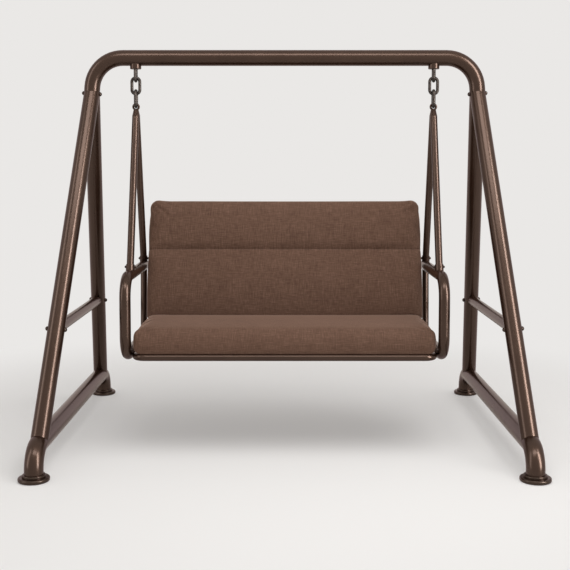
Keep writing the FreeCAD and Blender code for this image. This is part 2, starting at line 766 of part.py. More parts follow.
def make_seat_slats():
    """Flat bars from the front to the rear tube of the ring."""
    first = -at("seat_half_width") + at("seat_corner") + at("seat_tube_od")
    pitch = -2 * first / (SEAT_SLATS - 1)
    bars = []
    for number in range(SEAT_SLATS):
        middle = first + number * pitch
        low = Vector(middle - at("slat_width") / 2, at("seat_front_y"), at("slat_bottom_z"))
        bars.append(
            box(f"seat_slat_{number}", low, "slat_width", "seat_back_y - seat_front_y", "slat_thickness")
        )
    keep(compound("seat_bars", bars), "seat_slats")


def make_back_frame(seat_cope):
    """A hoop of tube behind the back cushion, leaned back and coped to the rear tube of the ring."""
    half = at("back_half_span")
    corners = [
        BACK_FRAME.multVec(Vector(-half, 0, 0)),
        BACK_FRAME.multVec(Vector(-half, 0, at("back_length"))),
        BACK_FRAME.multVec(Vector(half, 0, at("back_length"))),
        BACK_FRAME.multVec(Vector(half, 0, 0)),
    ]
    path = rounded_path("back_path", corners, at("back_corner"))
    tube = bent_tube("back_tube", path, "seat_tube_od", "seat_tube_wall")
    keep(cut("back_hoop", tube, seat_cope), "back_frame")


def make_back_slats():
    """Flat bars across the front of the back hoop."""
    top = at("back_length") - at("back_corner") - at("slat_width")
    pitch = (top - at("back_slat_start")) / (BACK_SLATS - 1)
    front = -at("seat_tube_od") / 2 - at("weld_gap") - at("slat_thickness")
    bars = []
    for number in range(BACK_SLATS):
        low = Vector(-at("back_half_span"), front, at("back_slat_start") + number * pitch)
        bars.append(
            box(f"back_slat_{number}", low, "2 * back_half_span", "slat_thickness", "slat_width", BACK_FRAME)
        )
    keep(compound("back_bars", bars), "back_slats")


def end_inset(share, radius):
    """How far a rounded edge has drawn in at a share of its rounding, counted from the very end."""
    return radius * (1 - math.sqrt(1 - (1 - share) ** 2))


def rounded_section(corners, radii, bulges, place):
    """A closed wire with an arc at each corner and a side between them that is straight or crowned."""
    count = len(corners)
    ends = []
    for index, here in enumerate(corners):
        before = (corners[index - 1] - here).normalize()
        after = (corners[(index + 1) % count] - here).normalize()
        half = before.getAngle(after) / 2
        inward = (before + after).normalize()
        reach = radii[index] / math.tan(half)
        middle = here + inward * (radii[index] / math.sin(half) - radii[index])
        ends.append((here + before * reach, middle, here + after * reach))
    edges = []
    for index in range(count):
        start = ends[index][2]
        stop = ends[(index + 1) % count][0]
        edges.append(Part.Arc(*ends[index]).toShape())
        if bulges[index]:
            outward = X_AXIS.cross((stop - start).normalize()) * bulges[index]
            edges.append(Part.Arc(start, (start + stop) / 2 + outward, stop).toShape())
        else:
            edges.append(Part.LineSegment(start, stop).toShape())
    wire = Part.Wire(edges)
    wire.Placement = place
    return wire


def cushion_stations(half_width, end):
    """Distances along X of the cross-sections, each with its shares of the end's rounding and of the draw."""
    straight = half_width - end
    left = [(-half_width + share * end, share, 0) for share in END_STATION_SHARES]
    left += [(-straight * (1 - share), 1, share * (2 - share)) for share in SPAN_STATION_SHARES]
    right = [(-x, share, draw) for x, share, draw in reversed(left[:-1])]
    return left + right


def seat_cushion_section(x, share, draw):
    """One cross-section of the seat cushion, rounded off at the ends and drawn in between the corners."""
    end = at("seat_cushion_end")
    drawn = draw * at("cushion_draw")
    crown = at("seat_cushion_crown")
    top = at("cushion_top_z") - crown - end_inset(share, end)
    bottom = at("cushion_bottom_z") + end_inset(share, end * LOWER_ROUND_SHARE)
    front = at("cushion_front_y") + crown / 2 + end_inset(share, end * FRONT_ROUND_SHARE) + drawn
    back = at("cushion_back_y") - end_inset(share, end * LOWER_ROUND_SHARE) - drawn
    corner = min(at("seat_cushion_round"), LEAST_CORNER_SHARE * (top - bottom))
    corners = [Vector(0, front, bottom), Vector(0, front, top), Vector(0, back, top), Vector(0, back, bottom)]
    radii = [corner, corner, corner, corner]
    bulges = [crown / 2, crown, 0, 0]
    return rounded_section(corners, radii, bulges, Placement(Vector(x, 0, 0), Rotation()))


def seat_top_fall(y):
    """How far the crowned top of the seat cushion lies below its highest line."""
    middle = (at("cushion_front_y") + at("cushion_back_y")) / 2
    half_chord = (at("cushion_back_y") - at("cushion_front_y")) / 2 - at("seat_cushion_round")
    return at("seat_cushion_crown") * min(1, ((y - middle) / half_chord) ** 2)


def back_cushion_section(x, share, draw):
    """One cross-section of the back cushion in its reclined frame, cut level where it stands on the seat."""
    end = at("back_cushion_end")
    drawn = draw * at("cushion_draw")
    lean = math.radians(at("recline_angle"))
    board = -at("seat_tube_od") / 2 - at("weld_gap") - at("slat_thickness") - at("cushion_gap")
    rear = board - end_inset(share, end * LOWER_ROUND_SHARE)
    face = board - at("back_cushion_thickness") + at("back_cushion_crown")
    front = face + end_inset(share, end * FRONT_ROUND_SHARE)
    rise = at("cushion_top_z") + at("cushion_gap") - at("seat_height")
    rise -= seat_top_fall(at("seat_back_y") + rise * math.tan(lean) + face / math.cos(lean))
    foot_front = (rise + front * math.sin(lean)) / math.cos(lean)
    foot_rear = (rise + rear * math.sin(lean)) / math.cos(lean)
    top = at("back_length") + at("back_cushion_rise")
    channel = top - at("back_channel_drop")
    top -= end_inset(share, end) + drawn
    corner = min(at("back_cushion_round"), LEAST_CORNER_SHARE * (rear - front))
    foot_corner = corner * LOWER_ROUND_SHARE
    depth = at("back_channel_depth")
    crown = at("back_cushion_crown")
    corners = [
        Vector(0, rear, foot_rear),
        Vector(0, front, foot_front),
        Vector(0, front + depth, channel),
        Vector(0, front, top),
        Vector(0, rear, top),
    ]
    radii = [foot_corner, foot_corner, depth / 2, corner, corner]
    bulges = [0, crown, crown, crown / 2, 0]
    place = BACK_FRAME.multiply(Placement(Vector(x, 0, 0), Rotation()))
    return rounded_section(corners, radii, bulges, place)


def make_cushion(name, section, half_width, end):
    sections = [section(*station) for station in cushion_stations(half_width, end)]
    item = doc.addObject("Part::Feature", name + "_form")
    item.Shape = Part.makeLoft(sections, True, True)
    keep(item, name)


def make_fasteners():
    """Bolts and cap nuts of the crown, the braces and the seat ring."""
    radii = ("bolt_radius", "bolt_head_radius", "nut_bore")
    crown = bolt_and_nut("crown", "tube_od", CROWN_BOLT_FRAME, *radii)
    brace = bolt_and_nut("brace_end", "tube_od", brace_bolt_frame(), *radii)
    seat = [
        bolt_and_nut("seat_" + name, "seat_bolt_length", frame, *radii) for name, frame in seat_bolt_frames()
    ]
    for kind, index in (("bolts", 0), ("nuts", 1)):
        keep_group("crown_" + kind, [crown[index]])
        keep_group("brace_" + kind, [brace[index], mirrored(brace[index], Y_AXIS)])
        keep_group("seat_" + kind, [pair[index] for pair in seat])


make_top_beam()
legs_cope = make_base_rail()
make_legs(legs_cope)
make_crown_spigot()
make_brace()
make_foot()
make_hanger_boss()
make_hanger_bow()
make_link("upper_link", at("upper_pivot_z"), X_AXIS)
make_link("lower_link", at("lower_link_top_z"), Y_AXIS)
make_yoke()
arms_cope = make_arm()
make_arm_caps()
make_hanger_rods(arms_cope)
make_rear_post(arms_cope)
ring_cope = make_seat_frame()
make_seat_slats()
make_back_frame(ring_cope)
make_back_slats()
make_cushion("seat_cushion", seat_cushion_section, at("cushion_half_width"), at("seat_cushion_end"))
make_cushion("back_cushion", back_cushion_section, at("back_cushion_half_width"), at("back_cushion_end"))
make_fasteners()
doc.recompute()

failed = [item.Label for item in doc.Objects if "Invalid" in item.State or "Error" in item.State]
if failed:
    raise RuntimeError("not computed: " + ", ".join(failed))
for name, item in nodes.items():
    if item.Shape.isNull() or not item.Shape.isValid() or not item.Shape.Solids:
        raise RuntimeError(f"{name} is not a valid solid")
os.makedirs("parts", exist_ok=True)
for name, item in nodes.items():
    item.Shape.exportStep(f"parts/{name}.step")
print(f"{len(nodes)} sub-parts written")
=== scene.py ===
import json
import math

import bmesh
import bpy
from mathutils import Matrix, Vector, noise
from mathutils.bvhtree import BVHTree


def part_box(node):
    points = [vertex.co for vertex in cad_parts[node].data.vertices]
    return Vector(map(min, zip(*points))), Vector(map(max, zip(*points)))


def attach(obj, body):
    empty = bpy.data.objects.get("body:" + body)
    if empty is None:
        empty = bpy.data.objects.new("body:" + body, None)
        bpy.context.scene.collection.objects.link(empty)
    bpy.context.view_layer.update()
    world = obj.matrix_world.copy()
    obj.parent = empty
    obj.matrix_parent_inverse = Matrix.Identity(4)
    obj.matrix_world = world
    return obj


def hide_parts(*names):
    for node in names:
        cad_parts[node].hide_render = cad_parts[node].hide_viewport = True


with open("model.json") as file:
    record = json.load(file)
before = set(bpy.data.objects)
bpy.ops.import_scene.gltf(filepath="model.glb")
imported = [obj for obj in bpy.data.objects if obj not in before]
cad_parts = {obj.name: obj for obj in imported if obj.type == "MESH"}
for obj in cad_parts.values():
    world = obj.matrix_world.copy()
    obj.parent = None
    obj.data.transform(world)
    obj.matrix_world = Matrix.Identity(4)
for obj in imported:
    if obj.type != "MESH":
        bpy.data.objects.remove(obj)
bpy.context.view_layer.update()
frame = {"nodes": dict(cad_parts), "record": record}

scene = bpy.context.scene

MM = 0.001

SEAT_TUBE_RADIUS = 15.9 * MM
ring_low, ring_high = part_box("seat_frame")
# The foot of the reclined back, on the axis of the rear tube of the seat ring.
BACK_FOOT = Vector((0, ring_high.y - SEAT_TUBE_RADIUS, ring_high.z - SEAT_TUBE_RADIUS))
RECLINE = math.radians(15)


# Camera at the photograph's height and distance, with its picture shifted as the photograph is framed

CAMERA_DISTANCE = 4.8
CAMERA_HEIGHT = 1.298
CAMERA_TILT_DEGREES = 4
FOCAL_LENGTH_MM = 62.08
SENSOR_WIDTH_MM = 36
SHIFT_ACROSS = 0.0005
SHIFT_DOWN = 0.0847


def make_camera():
    data = bpy.data.cameras.new("camera")
    data.lens = FOCAL_LENGTH_MM
    data.sensor_width = SENSOR_WIDTH_MM
    data.shift_x = SHIFT_ACROSS
    data.shift_y = -SHIFT_DOWN
    camera = bpy.data.objects.new("camera", data)
    camera.location = (0, -CAMERA_DISTANCE, CAMERA_HEIGHT)
    camera.rotation_euler = (math.radians(90 - CAMERA_TILT_DEGREES), 0, 0)
    scene.collection.objects.link(camera)
    scene.camera = camera


# Materials

def linear(colour):
    """An sRGB hex colour as the linear colour that a shader takes."""
    channels = [int(colour[start:start + 2], 16) / 255 for start in (1, 3, 5)]
    return [c / 12.92 if c <= 0.04045 else ((c + 0.055) / 1.055) ** 2.4 for c in channels] + [1.0]


def add(tree, kind, inputs=None, **settings):
    """Adds a node with its settings. An input that is a socket is linked, any other is a value."""
    node = tree.nodes.new(kind)
    for name, value in settings.items():
        setattr(node, name, value)
    for name, value in (inputs or {}).items():
        if isinstance(value, bpy.types.NodeSocket):
            tree.links.new(value, node.inputs[name])
        else:
            node.inputs[name].default_value = value
    return node


def blank_material(name):
    """A new material with its node tree, its shader and the object's own coordinates."""
    material = bpy.data.materials.new(name)
    material.use_nodes = True
    tree = material.node_tree
    shader = tree.nodes["Principled BSDF"]
    place = add(tree, "ShaderNodeTexCoord")
    return material, tree, shader, place.outputs["Object"]


def painted_steel(name, dark, light, roughness, gloss):
    """Steel tube in a baked bronze enamel: metal flake warms what it reflects, under a thin clear coat
    with a narrower glint. Its tone and its gloss drift slightly along the tube."""
    material, tree, shader, place = blank_material(name)
    tone_patch = 180 * MM
    gloss_patch = 35 * MM
    drift = add(tree, "ShaderNodeTexNoise", {"Vector": place, "Scale": 1 / tone_patch, "Detail": 3.0})
    tone = add(tree, "ShaderNodeValToRGB", {"Fac": drift.outputs["Fac"]})
    tone.color_ramp.elements[0].position = 0.3
    tone.color_ramp.elements[0].color = linear(dark)
    tone.color_ramp.elements[1].position = 0.7
    tone.color_ramp.elements[1].color = linear(light)
    tree.links.new(tone.outputs["Color"], shader.inputs["Base Color"])
    haze = add(tree, "ShaderNodeTexNoise", {"Vector": place, "Scale": 1 / gloss_patch, "Detail": 2.0})
    spread = add(
        tree, "ShaderNodeMapRange",
        {"Value": haze.outputs["Fac"], "To Min": roughness - 0.02, "To Max": roughness + 0.03},
    )
    tree.links.new(spread.outputs["Result"], shader.inputs["Roughness"])
    shader.inputs["Metallic"].default_value = 0.75
    shader.inputs["Specular Tint"].default_value = linear("#c0a08a")
    shader.inputs["Coat Weight"].default_value = gloss
    shader.inputs["Coat Roughness"].default_value = 0.23
    return material


def blackened_steel(name):
    """Forged chain steel, blackened in oil: nearly black, with grey glints where the links rub."""
    material, tree, shader, place = blank_material(name)
    rubbed_patch = 9 * MM
    wear = add(
        tree, "ShaderNodeTexNoise",
        {"Vector": place, "Scale": 1 / rubbed_patch, "Detail": 5.0, "Roughness": 0.6},
    )
    tone = add(tree, "ShaderNodeValToRGB", {"Fac": wear.outputs["Fac"]})
    tone.color_ramp.elements[0].position = 0.35
    tone.color_ramp.elements[0].color = linear("#2a2421")
    tone.color_ramp.elements[1].position = 0.75
    tone.color_ramp.elements[1].color = linear("#5d554f")
    tree.links.new(tone.outputs["Color"], shader.inputs["Base Color"])
    rough = add(
        tree, "ShaderNodeMapRange", {"Value": wear.outputs["Fac"], "To Min": 0.28, "To Max": 0.5}
    )
    tree.links.new(rough.outputs["Result"], shader.inputs["Roughness"])
    bump = add(
        tree, "ShaderNodeBump", {"Height": wear.outputs["Fac"], "Strength": 0.25, "Distance": 0.3 * MM}
    )
    tree.links.new(bump.outputs["Normal"], shader.inputs["Normal"])
    shader.inputs["Metallic"].default_value = 0.8
    return material


def moulded_nylon(name):
    """Injection-moulded black nylon: dull, with the fine grain of an eroded mould."""
    material, tree, shader, place = blank_material(name)
    mould_grain = 0.8 * MM
    grain = add(tree, "ShaderNodeTexNoise", {"Vector": place, "Scale": 1 / mould_grain, "Detail": 2.0})
    tone = add(tree, "ShaderNodeValToRGB", {"Fac": grain.outputs["Fac"]})
    tone.color_ramp.elements[0].color = linear("#1b1715")
    tone.color_ramp.elements[1].color = linear("#2a2522")
    tree.links.new(tone.outputs["Color"], shader.inputs["Base Color"])
    bump = add(
        tree, "ShaderNodeBump", {"Height": grain.outputs["Fac"], "Strength": 0.3, "Distance": 0.1 * MM}
    )
    tree.links.new(bump.outputs["Normal"], shader.inputs["Normal"])
    shader.inputs["Roughness"].default_value = 0.6
    return material


def sewing_thread(name):
    """Bonded polyester thread, smooth and a shade darker than the cloth, with a drift of its tone."""
    material, tree, shader, place = blank_material(name)
    # The real twist is about 1.4 mm long, too fine to show, so the tone changes over a few stitches. A
    # diagonal wave of scale 1 turns by 10 radians to the metre.
    twist = 17.6 * MM
    turn_rate = 10
    plies = add(
        tree, "ShaderNodeTexWave",
        {"Vector": place, "Scale": 2 * math.pi / (turn_rate * twist), "Distortion": 0.0},
        wave_type="BANDS", bands_direction="DIAGONAL",
    )
    tone = add(tree, "ShaderNodeValToRGB", {"Fac": plies.outputs["Fac"]})
    tone.color_ramp.elements[0].color = linear("#3b2a22")
    tone.color_ramp.elements[1].color = linear("#57412f")
    tree.links.new(tone.outputs["Color"], shader.inputs["Base Color"])
    shader.inputs["Roughness"].default_value = 0.55
    return material


def melange_weave(name):
    """A plain-woven upholstery cloth of brown melange yarn: matt, with fine slubs along both threads
    and a soft nap that lightens where it is seen from the side."""
    material, tree, shader, place = blank_material(name)
    # The real threads are about 1 mm apart, too fine to show, so slubs are drawn 2.7 mm wide.
    thread = 2.7 * MM
    slub = 34 * MM
    dye_patch = 90 * MM
    dye_share = 0.25
    warp_place = add(
        tree, "ShaderNodeMapping", {"Vector": place, "Scale": (1 / thread, 1 / slub, 1 / slub)}
    )
    weft_place = add(
        tree, "ShaderNodeMapping", {"Vector": place, "Scale": (1 / slub, 1 / thread, 1 / thread)}
    )
    warp = add(
        tree, "ShaderNodeTexNoise",
        {"Vector": warp_place.outputs["Vector"], "Scale": 1.0, "Detail": 2.0},
    )
    weft = add(
        tree, "ShaderNodeTexNoise",
        {"Vector": weft_place.outputs["Vector"], "Scale": 1.0, "Detail": 2.0},
    )
    cross = add(
        tree, "ShaderNodeMath", {0: warp.outputs["Fac"], 1: weft.outputs["Fac"]}, operation="ADD"
    )
    fleck = add(tree, "ShaderNodeTexNoise", {"Vector": place, "Scale": 1 / dye_patch, "Detail": 3.0})
    mixed = add(
        tree, "ShaderNodeMath", {0: fleck.outputs["Fac"], 1: dye_share, 2: cross.outputs["Value"]},
        operation="MULTIPLY_ADD",
    )
    level = add(
        tree, "ShaderNodeMapRange", {"Value": mixed.outputs["Value"], "From Min": 0.65, "From Max": 1.6}
    )
    tone = add(tree, "ShaderNodeValToRGB", {"Fac": level.outputs["Result"]})
    tone.color_ramp.elements[0].color = linear("#4d382d")
    tone.color_ramp.elements[1].color = linear("#7b5f50")
    middle = tone.color_ramp.elements.new(0.5)
    middle.color = linear("#644a3c")
    tree.links.new(tone.outputs["Color"], shader.inputs["Base Color"])
    bump = add(
        tree, "ShaderNodeBump",
        {"Height": cross.outputs["Value"], "Strength": 0.4, "Distance": 0.5 * MM},
    )
    tree.links.new(bump.outputs["Normal"], shader.inputs["Normal"])
    shader.inputs["Roughness"].default_value = 0.95
    shader.inputs["Specular IOR Level"].default_value = 0.15
    shader.inputs["Sheen Weight"].default_value = 1.0
    shader.inputs["Sheen Roughness"].default_value = 0.3
    shader.inputs["Sheen Tint"].default_value = linear("#c0a494")
    return material


# Meshes

def new_piece(name, mesh, material, body):
    """A smooth piece of one material that moves with a body."""
    piece = bpy.data.objects.new(name, mesh)
    scene.collection.objects.link(piece)
    mesh.materials.clear()
    mesh.materials.append(material)
    for face in mesh.polygons:
        face.use_smooth = True
    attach(piece, body)
    return piece


def rounded_outline(corners, radii, crowns, step):
    """Points round a closed outline, about a step apart, with an arc of its radius at each corner and a
    side between each two that stands out by its crown."""
    count = len(corners)
    arcs = []
    for index, here in enumerate(corners):
        before = (corners[index - 1] - here).normalized()
        after = (corners[(index + 1) % count] - here).normalized()
        half = before.angle(after) / 2
        inward = (before + after).normalized()
        centre = here + inward * (radii[index] / math.sin(half))
        reach = radii[index] / math.tan(half)
        start = here + before * reach - centre
        stop = here + after * reach - centre
        turns = max(3, round(start.angle(stop) * radii[index] / step))
        bend = start.angle_signed(stop)
        arc = [centre + Matrix.Rotation(-bend * turn / turns, 2) @ start for turn in range(turns + 1)]
        arcs.append(arc)
    points = []
    for index in range(count):
        points.extend(arcs[index])
        start = arcs[index][-1]
        stop = arcs[(index + 1) % count][0]
        outward = (stop - start).normalized()
        outward = Vector((outward.y, -outward.x)) * crowns[index]
        pieces = max(2, round((stop - start).length / step))
        for piece in range(1, pieces):
            share = piece / pieces
            points.append(start.lerp(stop, share) + outward * (4 * share * (1 - share)))
    return points


def evenly_spaced(points, count):
    """The same closed outline with its points evenly spaced, from its first point."""
    closed = points + points[:1]
    lengths = [0.0]
    for here, following in zip(closed, closed[1:]):
        lengths.append(lengths[-1] + (following - here).length)
    spaced = []
    index = 0
    for number in range(count):
        goal = lengths[-1] * number / count
        while lengths[index + 1] < goal:
            index += 1
        share = (goal - lengths[index]) / (lengths[index + 1] - lengths[index])
        spaced.append(closed[index].lerp(closed[index + 1], share))
    return spaced


def skinned(name, rings):
    """A closed mesh through rings of points, with a flat cap on the first and last."""
    shape = bmesh.new()
    rows = [[shape.verts.new(point) for point in ring] for ring in rings]
    for one, other in zip(rows, rows[1:]):
        for index in range(len(one)):
            following = (index + 1) % len(one)
            shape.faces.new((one[index], one[following], other[following], other[index]))
    shape.faces.new(rows[0][::-1])
    shape.faces.new(rows[-1])
    bmesh.ops.recalc_face_normals(shape, faces=shape.faces)
    mesh = bpy.data.meshes.new(name)
    shape.to_mesh(mesh)
    shape.free()
    return mesh


def evaluated_mesh(holder):
    """A mesh of its own with what an object's modifiers make of it now."""
    graph = bpy.context.evaluated_depsgraph_get()
    return bpy.data.meshes.new_from_object(holder.evaluated_get(graph))


def with_modifier(mesh, kind, **settings):
    """The mesh that one modifier makes of another."""
    holder = bpy.data.objects.new("holder", mesh)
    scene.collection.objects.link(holder)
    modifier = holder.modifiers.new(kind, kind)
    for name, value in settings.items():
        setattr(modifier, name, value)
    made = evaluated_mesh(holder)
    bpy.data.objects.remove(holder)
    return made


# Cushions

RING_POINTS = 120
OUTLINE_STEP = 4 * MM
VOXEL = 6 * MM
SWELL_FRAMES = 20
STUFFING_PRESSURE = 4.0
# The covers start this much smaller than the finished cushions and swell by up to as much.
SWELL = 9 * MM
# How much slimmer a cushion is in the middle of its length than beside its ends.
DRAW = 2 * MM


def draw_in(share, radius):
    """How far a rounded edge has drawn in at a share of its rounding, counted from the very end."""
    return radius * (1 - math.sqrt(max(0.0, 1 - (1 - share) ** 2)))


def stations(half_width, end):
    """Distances along X of the rings, each with its shares of the end's rounding and of the draw."""
    rounds = 8
    spans = 12
    found = []
    for k in range(rounds + 1):
        share = (k / rounds) ** 2
        found.append((-half_width + end * share, share, 0.0))
    straight = half_width - end
    for k in range(1, spans + 1):
        share = k / spans
        found.append((-straight * (1 - share), 1.0, share * (2 - share)))
    return found + [(-x, share, draw) for x, share, draw in reversed(found[:-1])]


def end_share(share):
    """The share of an end's rounding for the edges that are done with it halfway along the end."""
    return min(1.0, 2 * share)


# How far the rounding of the seat cushion's ends reaches in from its sides and up from its underside.
SEAT_END = 44 * MM


def seat_rings(inset):
    """The rings of the seat cushion, as much smaller than the finished cushion as the inset says."""
    low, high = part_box("seat_cushion")
    crown = 8 * MM
    rings = []
    for x, share, draw in stations(high.x - inset, SEAT_END):
        drawn = draw * DRAW
        top = high.z - crown - draw_in(end_share(share), 12 * MM) - inset
        bottom = low.z + draw_in(share, SEAT_END)
        front = low.y + crown / 2 + draw_in(share, 20 * MM) + drawn + inset
        back = high.y - draw_in(end_share(share), 8 * MM) - drawn - inset
        height = top - bottom
        upper = min(24 * MM, 0.42 * height)
        lower = min(8 * MM, 0.42 * height)
        # The front of the cushion is one long roll from its top down to the rail.
        roll = min(60 * MM, 0.55 * height)
        tuck = min(22 * MM, 0.3 * height)
        corners = [Vector(p) for p in ((back, bottom), (back, top), (front, top), (front, bottom))]
        crowns = [0, crown, crown / 2, 0]
        outline = rounded_outline(corners, [lower, upper, roll, tuck], crowns, OUTLINE_STEP)
        rings.append([Vector((x, y, z)) for y, z in evenly_spaced(outline, RING_POINTS)])
    return rings


def swell(mesh, held):
    """The mesh blown out against its cover by the stuffing. Held points stay, and none moves further
    than SWELL."""
    start = [vertex.co.copy() for vertex in mesh.vertices]
    holder = bpy.data.objects.new("stuffing", mesh)
    scene.collection.objects.link(holder)
    sewn = holder.vertex_groups.new(name="sewn")
    sewn.add([index for index, co in enumerate(start) if held(co)], 1.0, "REPLACE")
    cover = holder.modifiers.new("cover", "CLOTH")
    cover.settings.quality = 4
    cover.settings.mass = 0.3
    cover.settings.tension_stiffness = 30
    cover.settings.compression_stiffness = 30
    cover.settings.shear_stiffness = 15
    cover.settings.bending_stiffness = 3
    cover.settings.vertex_group_mass = "sewn"
    cover.settings.use_pressure = True
    cover.settings.uniform_pressure_force = STUFFING_PRESSURE
    cover.settings.effector_weights.gravity = 0
    cover.point_cache.frame_start = 1
    cover.point_cache.frame_end = SWELL_FRAMES
    for number in range(1, SWELL_FRAMES + 1):
        scene.frame_set(number)
    blown = evaluated_mesh(holder)
    scene.frame_set(1)
    bpy.data.objects.remove(holder)
    for vertex, rest in zip(blown.vertices, start):
        shift = vertex.co - rest
        if shift.length > 0:
            vertex.co = rest + shift.normalized() * SWELL * math.tanh(shift.length / SWELL)
    return blown


def stuffed(name, rings, held):
    """A cushion through its rings: swollen by its stuffing, smoothed and finely divided."""
    mesh = skinned(name, rings)
    mesh = with_modifier(mesh, "REMESH", mode="VOXEL", voxel_size=VOXEL)
    mesh = swell(mesh, held)
    mesh = with_modifier(mesh, "SMOOTH", factor=0.5, iterations=8)
    mesh = with_modifier(mesh, "SUBSURF", levels=1)
    mesh.name = name
    return mesh


def press(mesh, depth_at):
    """Moves each point of a mesh inwards, along its normal, by the depth that a function gives it."""
    normals = [vertex.normal.copy() for vertex in mesh.vertices]
    for vertex, normal in zip(mesh.vertices, normals):
        vertex.co -= normal * depth_at(vertex.co)


def crease(distance, width, depth):
    """The depth of a sewn line at a distance from it."""
    return depth * math.exp(-((distance / width) ** 2))


def fill_out(mesh, to_box, from_box, low, high):
    """Stretches a smoothed mesh in three directions until it fills a box again. to_box gives a point's
    place in the frame of the box, and from_box turns such a place back into a point."""
    places = [to_box(vertex.co) for vertex in mesh.vertices]
    for axis in range(3):
        least = min(place[axis] for place in places)
        most = max(place[axis] for place in places)
        for place in places:
            share = (place[axis] - least) / (most - least)
            place[axis] = low[axis] + share * (high[axis] - low[axis])
    for vertex, place in zip(mesh.vertices, places):
        vertex.co = from_box(place)


SEAT_SLATS = 11
SLAT_WIDTH = 35 * MM
# How far from a slat's edge the cushion has sagged to the height of the ring.
SAG_RUN = 8 * MM
# The gap that stays between a cushion and what carries it.
CONTACT = 0.3 * MM


def surface_of(mesh):
    """The faces of a mesh, ready for rays."""
    points = [vertex.co for vertex in mesh.vertices]
    return BVHTree.FromPolygons(points, [face.vertices for face in mesh.polygons])


def settle(mesh, floor_at, reach, most):
    """Lets the underside of a cushion down, by no more than most, onto what lies under it. The cloth
    over it follows, less and less up to a height of reach. floor_at gives what carries a place, as the
    point of the underside that counts there and the height that it comes to."""
    own = surface_of(mesh)
    least = min(vertex.co.z for vertex in mesh.vertices)
    up = Vector((0, 0, 1))
    for vertex in mesh.vertices:
        x, y, floor = floor_at(vertex.co.x, vertex.co.y)
        hit = own.ray_cast(Vector((x, y, least - reach)), up)[0]
        if hit is None or vertex.co.z > least + 2 * reach:
            continue
        drop = min(most, hit.z - floor)
        vertex.co.z -= drop * min(1.0, max(0.0, 1 - (vertex.co.z - hit.z) / reach))


def seat_support(low, high):
    """Makes the floor_at of the seat cushion: the slats, between two of them the ring, and in front the
    front rail."""
    slats_low, slats_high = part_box("seat_slats")
    pitch = (slats_high.x - slats_low.x - SLAT_WIDTH) / (SEAT_SLATS - 1)
    first = slats_low.x + SLAT_WIDTH / 2
    rail_y = ring_low.y + SEAT_TUBE_RADIUS
    rail_z = ring_high.z - SEAT_TUBE_RADIUS
    radius = SEAT_TUBE_RADIUS + CONTACT
    lip = low.y + 8 * MM
    side = high.x - 3 * MM

    def floor_at(x, y):
        x = min(side, max(-side, x))
        y = max(lip, y)
        number = min(SEAT_SLATS - 1, max(0, round((x - first) / pitch)))
        beside = abs(x - first - number * pitch) - SLAT_WIDTH / 2
        over_slat = 1 - min(1.0, max(0.0, beside / SAG_RUN))
        sagged = ring_high.z + CONTACT
        height = sagged + (low.z - sagged) * over_slat
        if y < slats_low.y - CONTACT:
            height = rail_z + math.sqrt(radius ** 2 - (y - rail_y) ** 2)
        return x, y, height + draw_in(min(1.0, (high.x - abs(x)) / SEAT_END), SEAT_END)

    return floor_at


def make_seat_cushion(fabric):
    """The seat cushion, with a seam round each end where its end panel is sewn in."""
    low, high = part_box("seat_cushion")
    panel_seam = high.x - 27 * MM
    held_below = low.z + 6 * MM
    mesh = stuffed("seat_pad", seat_rings(SWELL), lambda co: co.z < held_below)
    fill_out(mesh, Vector.copy, Vector.copy, low, high)
    press(mesh, lambda co: crease(abs(co.x) - panel_seam, width=3 * MM, depth=1.4 * MM))
    settle(mesh, seat_support(low, high), reach=34 * MM, most=16 * MM)
    piece = new_piece("seat_pad", mesh, fabric, "seat")
    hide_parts("seat_cushion")
    return piece


LEAN = Matrix.Rotation(-RECLINE, 3, "X")
UPRIGHT = LEAN.transposed()


def back_frame_point(x, y, z):
    """A point given along the reclined back, from its foot, as a point of the model."""
    return BACK_FOOT + LEAN @ Vector((x, y, z))


def along_back(co):
    """A point of the model in the frame of the reclined back."""
    return UPRIGHT @ (co - BACK_FOOT)


# Sizes of the back cushion in the frame of the reclined back: how high its top and its sewn line lie,
# where its rear face stands, clear of the hoop's axis, and how thick it is.
BACK_TOP = 698 * MM
CHANNEL = BACK_TOP - 259 * MM
BACK_REAR = -(SEAT_TUBE_RADIUS + 4.5 * MM)
BACK_THICKNESS = 95 * MM


def back_rings(inset):
    """The rings of the back cushion, as much smaller than the finished cushion as the inset says."""
    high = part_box("back_cushion")[1]
    seat_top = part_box("seat_cushion")[1].z
    end = 44 * MM
    crown = 9 * MM
    # How much the crowned top of the seat has fallen where the back stands on it.
    crown_fall = 3 * MM
    rise = seat_top - crown_fall - BACK_FOOT.z
    rings = []
    for x, share, draw in stations(high.x - inset, end):
        drawn = draw * DRAW
        rear = BACK_REAR - draw_in(share, end * 0.55)
        front = BACK_REAR - BACK_THICKNESS + crown + draw_in(share, end * 0.6) + inset
        top = BACK_TOP - draw_in(share, end) - drawn - inset
        foot_front = (rise + front * math.sin(RECLINE)) / math.cos(RECLINE)
        foot_rear = (rise + rear * math.sin(RECLINE)) / math.cos(RECLINE)
        corner = min(34 * MM, 0.42 * (rear - front))
        corners = [
            Vector((rear, foot_rear)),
            Vector((rear, top)),
            Vector((front, top)),
            Vector((front + 4 * MM, CHANNEL)),
            Vector((front, foot_front)),
        ]
        radii = [corner * 0.4, corner * 0.8, corner, 3 * MM, corner * 0.4]
        outline = rounded_outline(corners, radii, [0, crown / 2, crown, crown, 0], OUTLINE_STEP)
        rings.append([back_frame_point(x, y, z) for y, z in evenly_spaced(outline, RING_POINTS)])
    return rings


